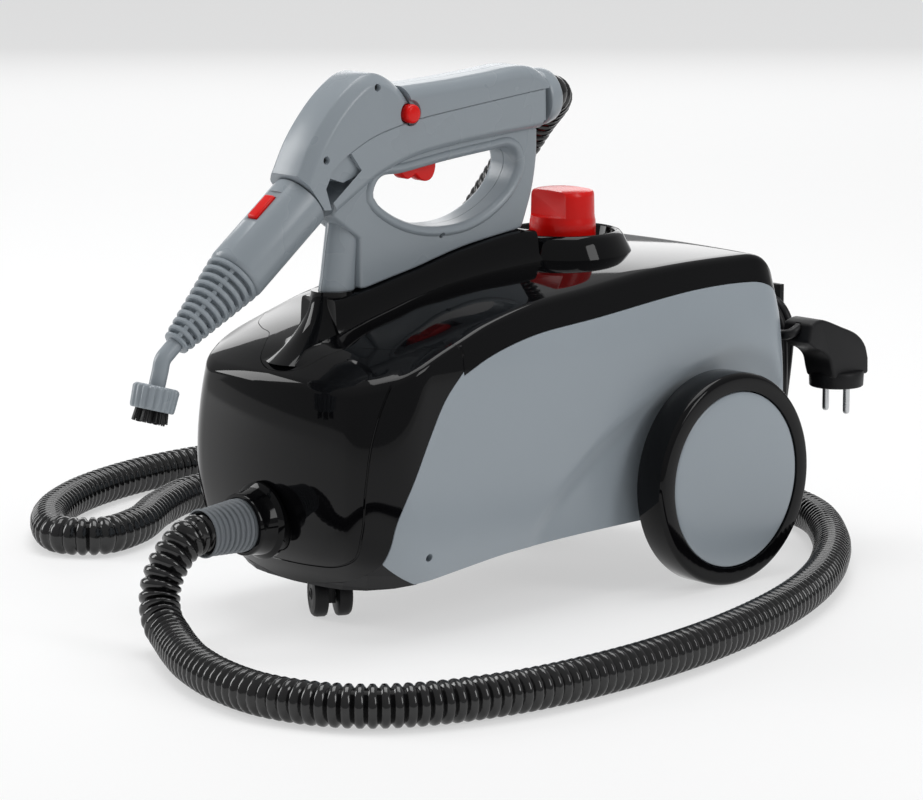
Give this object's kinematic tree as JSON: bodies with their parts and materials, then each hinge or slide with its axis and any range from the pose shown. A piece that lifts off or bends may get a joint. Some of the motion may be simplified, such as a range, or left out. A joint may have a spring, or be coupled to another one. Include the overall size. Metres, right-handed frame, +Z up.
{
  "type": "steam cleaner",
  "caption": "Cylinder steam cleaner on two rear wheels and a front caster, with a carry handle that holds the steam gun, a bent brush nozzle, a corrugated hose and a wound mains lead.",
  "frame": {"origin": "On the floor, midway along the machine's length and width, both measured without the hose and the mains lead.", "axes": "+X to the side with the plug, which is on the right when the machine is seen from its front; +Y to the rear; +Z up."},
  "size_m": [0.6874, 0.6726, 0.352],
  "materials": {
    "grey_plastic": "satin",
    "grey_rubber": "matte",
    "black_gloss": "gloss",
    "black_plastic": "fine grain",
    "red_plastic": "gloss",
    "bristle": "matte",
    "steel": "satin",
    "boiler_alloy": "cast",
    "brass": "satin",
    "hose_cover": "semi-gloss",
    "cord_rubber": "matte",
    "board": "matte"
  },
  "bodies": {
    "chassis": {"top_cover": "black_gloss", "front_panel": "black_gloss", "outlet_collar": "black_gloss", "hose_boot": "grey_rubber", "side_panel_right": "grey_plastic", "side_panel_left": "grey_plastic", "base_pan": "black_plastic", "rear_panel": "black_plastic", "cord_hook_upper": "black_plastic", "cord_hook_lower": "black_plastic", "strain_relief": "cord_rubber", "rocker_switch": "black_plastic", "handle_half_right": "grey_plastic", "handle_half_left": "grey_plastic", "filler_neck": "brass", "boiler_lower": "boiler_alloy", "boiler_upper": "boiler_alloy", "heating_element": "steel", "thermostat": "black_plastic", "solenoid_valve": "brass", "steam_pipe": "brass", "terminal_board": "board", "rear_axle": "steel", "axle_retainer_right": "steel", "axle_retainer_left": "steel", "mains_cord_winding": "cord_rubber", "mains_cord_lead_in": "cord_rubber", "mains_cord_tail": "cord_rubber", "mains_plug": "black_plastic", "plug_pin_right": "steel", "plug_pin_left": "steel", "hose_floor_run": "hose_cover"},
    "gun": {"gun_shell_right": "grey_plastic", "gun_shell_left": "grey_plastic", "gun_front_cap": "grey_plastic", "gun_steam_tube": "brass", "gun_hose_collar": "grey_plastic", "trigger_pin": "steel", "trigger_switch": "black_plastic", "hose_gun_end": "hose_cover"},
    "trigger": {"trigger": "red_plastic"},
    "lock_button": {"lock_button": "red_plastic"},
    "nozzle": {"nozzle_barrel": "grey_plastic", "nozzle_cage": "grey_plastic", "nozzle_tip_tube": "grey_plastic"},
    "nozzle_release": {"nozzle_release_button": "red_plastic"},
    "brush": {"brush_ring": "grey_plastic", "brush_bristles": "bristle"},
    "filler_plug": {"filler_plug": "black_plastic", "filler_gasket": "cord_rubber"},
    "filler_cap": {"filler_cap": "red_plastic"},
    "wheel_right": {"wheel_rim_right": "black_gloss", "hub_disc_right": "grey_plastic"},
    "wheel_left": {"wheel_rim_left": "black_gloss", "hub_disc_left": "grey_plastic"},
    "caster": {"caster_yoke": "black_plastic", "caster_axle": "steel"},
    "caster_wheel_right": {"caster_wheel_right": "black_plastic"},
    "caster_wheel_left": {"caster_wheel_left": "black_plastic"},
    "rocker": {"rocker_key": "red_plastic"}
  },
  "joints": [
    {"name": "gun_lift_off", "type": "slide", "parent": "chassis", "child": "gun", "axis": [0, 0, 1], "range_m": [0, 0.12]},
    {"name": "trigger_squeeze", "type": "hinge", "parent": "gun", "child": "trigger", "pos_m": [0, -0.0595, 0.307], "axis": [1, 0, 0], "range_deg": [0, 9], "stiffness_Nm_per_rad": 0.15},
    {"name": "lock_push", "type": "slide", "parent": "gun", "child": "lock_button", "axis": [1, 0, 0], "range_m": [-0.006, 0]},
    {"name": "nozzle_pull_off", "type": "slide", "parent": "gun", "child": "nozzle", "axis": [0, -0.7907, -0.6122], "range_m": [0, 0.03]},
    {"name": "nozzle_release_push", "type": "slide", "parent": "nozzle", "child": "nozzle_release", "axis": [0, 0.6122, -0.7907], "range_m": [0, 0.0025], "stiffness_N_per_m": 200},
    {"name": "brush_pull_off", "type": "slide", "parent": "nozzle", "child": "brush", "axis": [0, -0.2873, -0.9578], "range_m": [0, 0.02]},
    {"name": "filler_lift_off", "type": "slide", "parent": "chassis", "child": "filler_plug", "axis": [0, 0, 1], "range_m": [0, 0.028]},
    {"name": "filler_cap_turn", "type": "hinge", "parent": "filler_plug", "child": "filler_cap", "pos_m": [0, 0.0955, 0.24], "axis": [0, 0, 1], "continuous": true},
    {"name": "wheel_right_spin", "type": "hinge", "parent": "chassis", "child": "wheel_right", "pos_m": [0.115, 0.1345, 0.072], "axis": [1, 0, 0], "continuous": true},
    {"name": "wheel_left_spin", "type": "hinge", "parent": "chassis", "child": "wheel_left", "pos_m": [-0.115, 0.1345, 0.072], "axis": [1, 0, 0], "continuous": true},
    {"name": "caster_swivel", "type": "hinge", "parent": "chassis", "child": "caster", "pos_m": [0, -0.1185, 0.03], "axis": [0, 0, 1], "continuous": true},
    {"name": "caster_wheel_right_spin", "type": "hinge", "parent": "caster", "child": "caster_wheel_right", "pos_m": [0.0052, -0.1215, 0.015], "axis": [0.5, 0.866, 0], "continuous": true},
    {"name": "caster_wheel_left_spin", "type": "hinge", "parent": "caster", "child": "caster_wheel_left", "pos_m": [0.0052, -0.1215, 0.015], "axis": [0.5, 0.866, 0], "continuous": true},
    {"name": "rocker_tilt", "type": "hinge", "parent": "chassis", "child": "rocker", "pos_m": [-0.04, 0.2315, 0.151], "axis": [1, 0, 0], "range_deg": [0, 12]}
  ]
}
